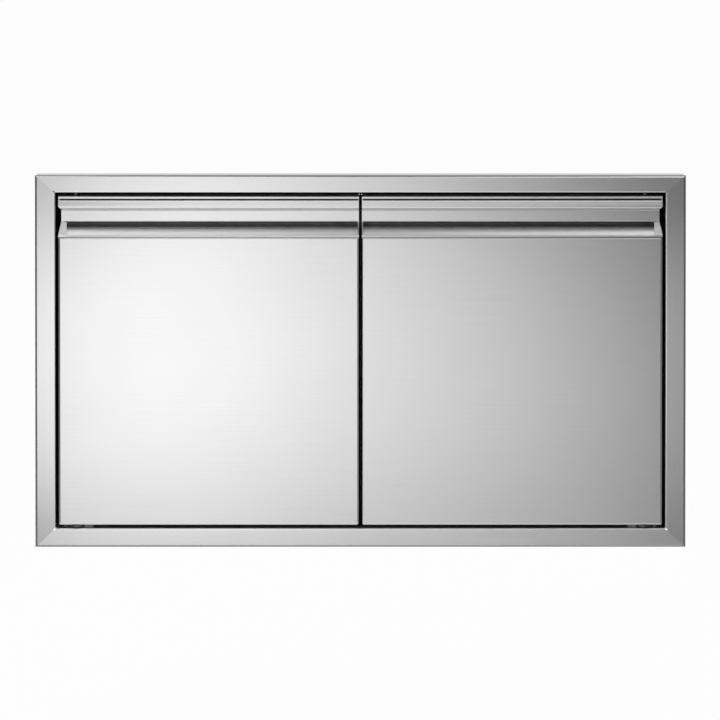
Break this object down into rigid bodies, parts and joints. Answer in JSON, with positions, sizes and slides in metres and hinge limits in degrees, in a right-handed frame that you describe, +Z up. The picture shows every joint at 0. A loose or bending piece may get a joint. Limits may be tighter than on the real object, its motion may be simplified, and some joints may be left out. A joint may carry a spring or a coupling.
{
  "type": "built-in double access door",
  "caption": "Stainless double access door for an outdoor kitchen island: a trim frame with a sleeve and side-hinged doors with full-width finger pulls.",
  "frame": {"origin": "middle of the trim frame, in the plane of the island's face, where the back edges of the trim frame's outer returns rest", "axes": "+X to the right along the long side as seen from the front, +Y into the island, +Z up"},
  "size_m": [0.9144, 0.0762, 0.5294],
  "materials": {
    "frame_stainless": "satin, grain along each member",
    "door_stainless": "satin, grain across the door",
    "sheet_stainless": "mill finish",
    "pin_steel": "turned, black oxide",
    "fixing_steel": "bright",
    "bush_bronze": "sintered",
    "washer_nylon": "moulded, black",
    "catch_plastic": "moulded",
    "magnet_steel": "plated",
    "bumper_rubber": "moulded",
    "seal_rubber": "extruded"
  },
  "bodies": {
    "frame": {"bottom_rail": "frame_stainless", "bracket_screws": "fixing_steel", "catch_magnets": "magnet_steel", "corner_gussets": "sheet_stainless", "frame_seals": "seal_rubber", "gusset_rivets": "fixing_steel", "head_jamb": "sheet_stainless", "left_catch_housing": "catch_plastic", "left_jamb": "sheet_stainless", "left_lower_pin": "pin_steel", "left_stile": "frame_stainless", "left_upper_pin": "pin_steel", "limit_studs": "pin_steel", "lower_pivot_brackets": "sheet_stainless", "right_catch_housing": "catch_plastic", "right_jamb": "sheet_stainless", "right_lower_pin": "pin_steel", "right_stile": "frame_stainless", "right_upper_pin": "pin_steel", "sill_jamb": "sheet_stainless", "sleeve_screws": "fixing_steel", "stop_bracket": "sheet_stainless", "stop_bumpers": "bumper_rubber", "thrust_washers": "washer_nylon", "top_rail": "frame_stainless", "upper_pivot_brackets": "sheet_stainless"},
    "left_door": {"left_door_edge_seal": "seal_rubber", "left_door_free_end_cap": "door_stainless", "left_door_grip": "door_stainless", "left_door_hinge_end_cap": "door_stainless", "left_door_inner_liner": "sheet_stainless", "left_door_limit_cam": "pin_steel", "left_door_liner_screws": "fixing_steel", "left_door_lower_bush": "bush_bronze", "left_door_lower_pivot_block": "sheet_stainless", "left_door_outer_skin": "door_stainless", "left_door_scoop": "door_stainless", "left_door_stiffener": "sheet_stainless", "left_door_strike_plate": "sheet_stainless", "left_door_strike_rivets": "fixing_steel", "left_door_top_cap": "door_stainless", "left_door_upper_bush": "bush_bronze", "left_door_upper_pivot_block": "sheet_stainless"},
    "right_door": {"right_door_edge_seal": "seal_rubber", "right_door_free_end_cap": "door_stainless", "right_door_grip": "door_stainless", "right_door_hinge_end_cap": "door_stainless", "right_door_inner_liner": "sheet_stainless", "right_door_limit_cam": "pin_steel", "right_door_liner_screws": "fixing_steel", "right_door_lower_bush": "bush_bronze", "right_door_lower_pivot_block": "sheet_stainless", "right_door_outer_skin": "door_stainless", "right_door_scoop": "door_stainless", "right_door_stiffener": "sheet_stainless", "right_door_strike_plate": "sheet_stainless", "right_door_strike_rivets": "fixing_steel", "right_door_top_cap": "door_stainless", "right_door_upper_bush": "bush_bronze", "right_door_upper_pivot_block": "sheet_stainless"}
  },
  "joints": [
    {"name": "left_door_hinge", "type": "hinge", "parent": "frame", "child": "left_door", "pos_m": [-0.4, -0.00705, 0], "axis": [0, 0, -1], "range_deg": [0, 110]},
    {"name": "right_door_hinge", "type": "hinge", "parent": "frame", "child": "right_door", "pos_m": [0.4, -0.00705, 0], "axis": [0, 0, 1], "range_deg": [0, 110]}
  ]
}
